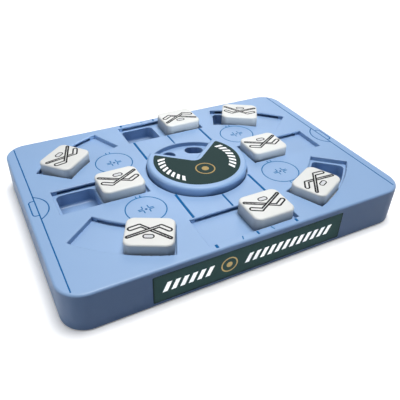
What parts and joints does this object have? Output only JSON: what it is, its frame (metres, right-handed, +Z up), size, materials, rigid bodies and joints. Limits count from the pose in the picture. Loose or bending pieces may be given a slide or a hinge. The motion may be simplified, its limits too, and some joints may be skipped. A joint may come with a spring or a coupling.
{
  "type": "dog puzzle feeder toy",
  "caption": "Flat rink-shaped treat puzzle board with sliding blocks over treat pockets in straight and curved tracks, and a turning wheel with an open window.",
  "frame": {"origin": "on the floor, at the middle of the board's footprint", "axes": "+X to the right along the long side, +Y to the back, +Z up"},
  "size_m": [0.36, 0.252, 0.052],
  "materials": {
    "blue_plastic": "satin moulded ABS",
    "white_plastic": "satin moulded ABS with printed lines",
    "runner_plastic": "natural acetal",
    "label_film": "matt printed film",
    "rubber": "matt",
    "steel": "zinc plated"
  },
  "bodies": {
    "board": {"top_shell": "blue_plastic", "base_plate": "blue_plastic", "front_label": "label_film", "base_screws": "steel", "pan_screws": "steel", "wheel_pan": "blue_plastic", "treat_pan_left": "blue_plastic", "treat_pan_right": "blue_plastic", "treat_pan_front": "blue_plastic", "treat_pan_back": "blue_plastic", "treat_pan_back_left": "blue_plastic", "treat_pan_front_left": "blue_plastic", "treat_pan_front_right": "blue_plastic", "treat_pan_back_right": "blue_plastic", "rubber_foot_front_left": "rubber", "rubber_foot_front_right": "rubber", "rubber_foot_back_left": "rubber", "rubber_foot_back_right": "rubber"},
    "wheel": {"wheel_disc": "blue_plastic", "wheel_label": "label_film", "wheel_washer": "steel", "wheel_screw": "steel"},
    "block_left": {"block_cap_left": "white_plastic", "block_runner_left": "runner_plastic"},
    "block_right": {"block_cap_right": "white_plastic", "block_runner_right": "runner_plastic"},
    "block_front": {"block_cap_front": "white_plastic", "block_runner_front": "runner_plastic"},
    "block_back": {"block_cap_back": "white_plastic", "block_runner_back": "runner_plastic"},
    "block_back_left": {"block_cap_back_left": "white_plastic", "block_runner_back_left": "runner_plastic"},
    "block_front_left": {"block_cap_front_left": "white_plastic", "block_runner_front_left": "runner_plastic"},
    "block_front_right": {"block_cap_front_right": "white_plastic", "block_runner_front_right": "runner_plastic"},
    "block_back_right": {"block_cap_back_right": "white_plastic", "block_runner_back_right": "runner_plastic"}
  },
  "joints": [
    {"name": "wheel_turn", "type": "hinge", "parent": "board", "child": "wheel", "pos_m": [0, 0, 0.037], "axis": [0, 0, 1], "continuous": true},
    {"name": "slide_left", "type": "slide", "parent": "board", "child": "block_left", "axis": [1, 0, 0], "range_m": [-0.0429, 0.0019]},
    {"name": "slide_right", "type": "slide", "parent": "board", "child": "block_right", "axis": [1, 0, 0], "range_m": [0, 0.0448]},
    {"name": "slide_front", "type": "slide", "parent": "board", "child": "block_front", "axis": [1, 0, 0], "range_m": [-0.0485, 0.0023]},
    {"name": "slide_back", "type": "slide", "parent": "board", "child": "block_back", "axis": [1, 0, 0], "range_m": [-0.0497, 0.0011]},
    {"name": "slide_back_left", "type": "hinge", "parent": "board", "child": "block_back_left", "pos_m": [-0.0163, -0.0595, 0.037], "axis": [0, 0, 1], "range_deg": [-14.38, 0]},
    {"name": "slide_front_left", "type": "hinge", "parent": "board", "child": "block_front_left", "pos_m": [-0.0163, 0.0595, 0.037], "axis": [0, 0, 1], "range_deg": [-14.38, 0]},
    {"name": "slide_front_right", "type": "hinge", "parent": "board", "child": "block_front_right", "pos_m": [0.0163, 0.0595, 0.037], "axis": [0, 0, 1], "range_deg": [0, 14.38]},
    {"name": "slide_back_right", "type": "hinge", "parent": "board", "child": "block_back_right", "pos_m": [0.0163, -0.0595, 0.037], "axis": [0, 0, 1], "range_deg": [-9.78, 4.6]}
  ]
}
